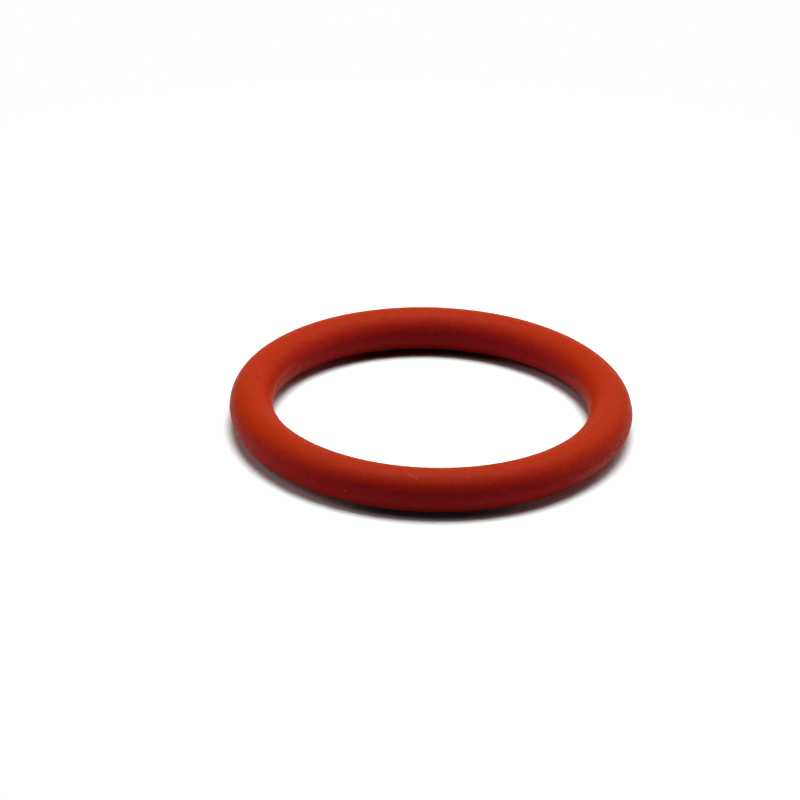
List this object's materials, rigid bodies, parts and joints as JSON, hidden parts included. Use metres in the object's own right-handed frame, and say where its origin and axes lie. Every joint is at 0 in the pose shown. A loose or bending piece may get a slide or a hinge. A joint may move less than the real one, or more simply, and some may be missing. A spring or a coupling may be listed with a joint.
{
  "type": "o-ring",
  "caption": "Moulded silicone sealing ring of round section, with a fine trimmed mould line round its inner and outer edges.",
  "frame": {"origin": "centre of the ring, on the mid plane where the mould splits", "axes": "+Z along the ring's axis; it lies flat on the surface at z = -2.65 mm. X and Y are any two directions across the ring, because it is round"},
  "size_m": [0.0494, 0.0494, 0.0052],
  "materials": {
    "silicone": "orange-red silicone rubber, matt to satin as it leaves the mould"
  },
  "bodies": {
    "root": {"o_ring": "silicone"}
  },
  "joints": []
}
